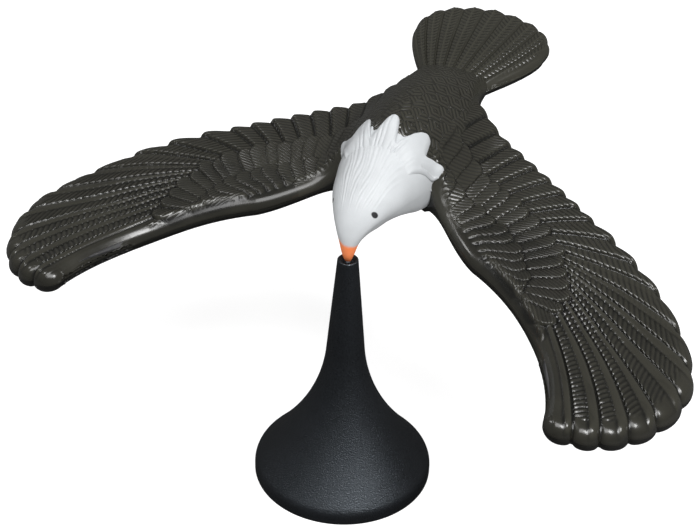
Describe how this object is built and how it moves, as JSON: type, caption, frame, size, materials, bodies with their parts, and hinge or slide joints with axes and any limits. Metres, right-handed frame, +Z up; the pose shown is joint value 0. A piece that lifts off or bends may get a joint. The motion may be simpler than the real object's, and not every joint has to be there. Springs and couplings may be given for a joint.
{
  "type": "counterweight balancing toy",
  "caption": "Balancing bird toy: a spread-winged eagle with weighted, forward-swept wing tips that hovers, rocks and spins with its beak on the top of a trumpet-shaped stand.",
  "frame": {"origin": "centre of the stand's base rim, on the surface it stands on", "axes": "+Z up along the stand's axis, the bird looks along -Y and its left wing reaches along +X"},
  "size_m": [0.1876, 0.146, 0.0986],
  "materials": {
    "stand_black": "satin, finely textured",
    "pivot_steel": "polished",
    "bird_brown": "semi-gloss, with a white painted head and an orange painted beak",
    "weight_metal": "as cast"
  },
  "bodies": {
    "stand": {"stand_shell": "stand_black"},
    "ball": {"pivot_ball": "pivot_steel"},
    "pin": {"pivot_pin": "pivot_steel"},
    "bird": {"upper_shell": "bird_brown", "lower_shell": "bird_brown", "left_wing_weight": "weight_metal", "right_wing_weight": "weight_metal"}
  },
  "joints": [
    {"name": "rock", "type": "hinge", "parent": "stand", "child": "ball", "pos_m": [0, 0, 0.07], "axis": [0, 1, 0], "range_deg": [-25, 25]},
    {"name": "nod", "type": "hinge", "parent": "ball", "child": "pin", "pos_m": [0, 0, 0.07], "axis": [1, 0, 0], "range_deg": [-25, 25]},
    {"name": "spin", "type": "hinge", "parent": "pin", "child": "bird", "pos_m": [0, 0, 0.07], "axis": [0, 0, 1], "continuous": true}
  ]
}
